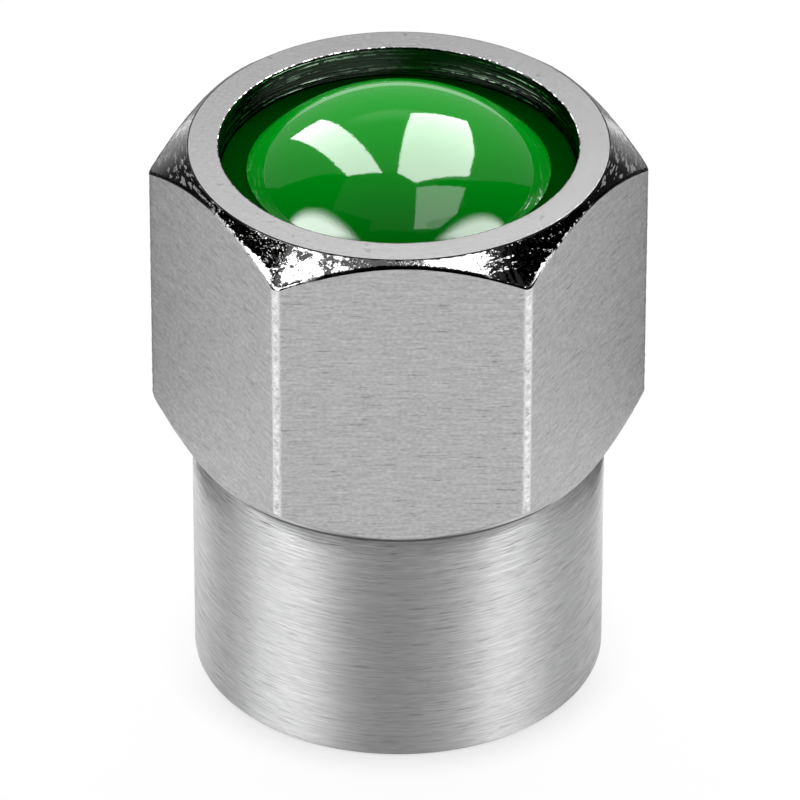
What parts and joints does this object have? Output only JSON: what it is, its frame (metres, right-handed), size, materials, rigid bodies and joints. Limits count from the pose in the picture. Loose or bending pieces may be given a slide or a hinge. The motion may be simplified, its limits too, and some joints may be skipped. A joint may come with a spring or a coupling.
{
  "type": "tyre valve cap",
  "caption": "Metal tyre valve cap with a bevelled hexagon head, round skirt and green domed insert; its threaded bore screws over a valve stem and seals on a rubber washer.",
  "frame": {"origin": "centre of the open end, on the plane that the cap stands on", "axes": "+Z along the bore axis from the open end to the dome, -Y out of one flat of the hexagon head, X through two of its corners"},
  "size_m": [0.0126, 0.011, 0.0163],
  "materials": {
    "plated_metal": "satin",
    "green_plastic": "gloss",
    "black_rubber": "matte"
  },
  "bodies": {
    "root": {"cap_body": "plated_metal", "dome_insert": "green_plastic", "seal_washer": "black_rubber"}
  },
  "joints": []
}
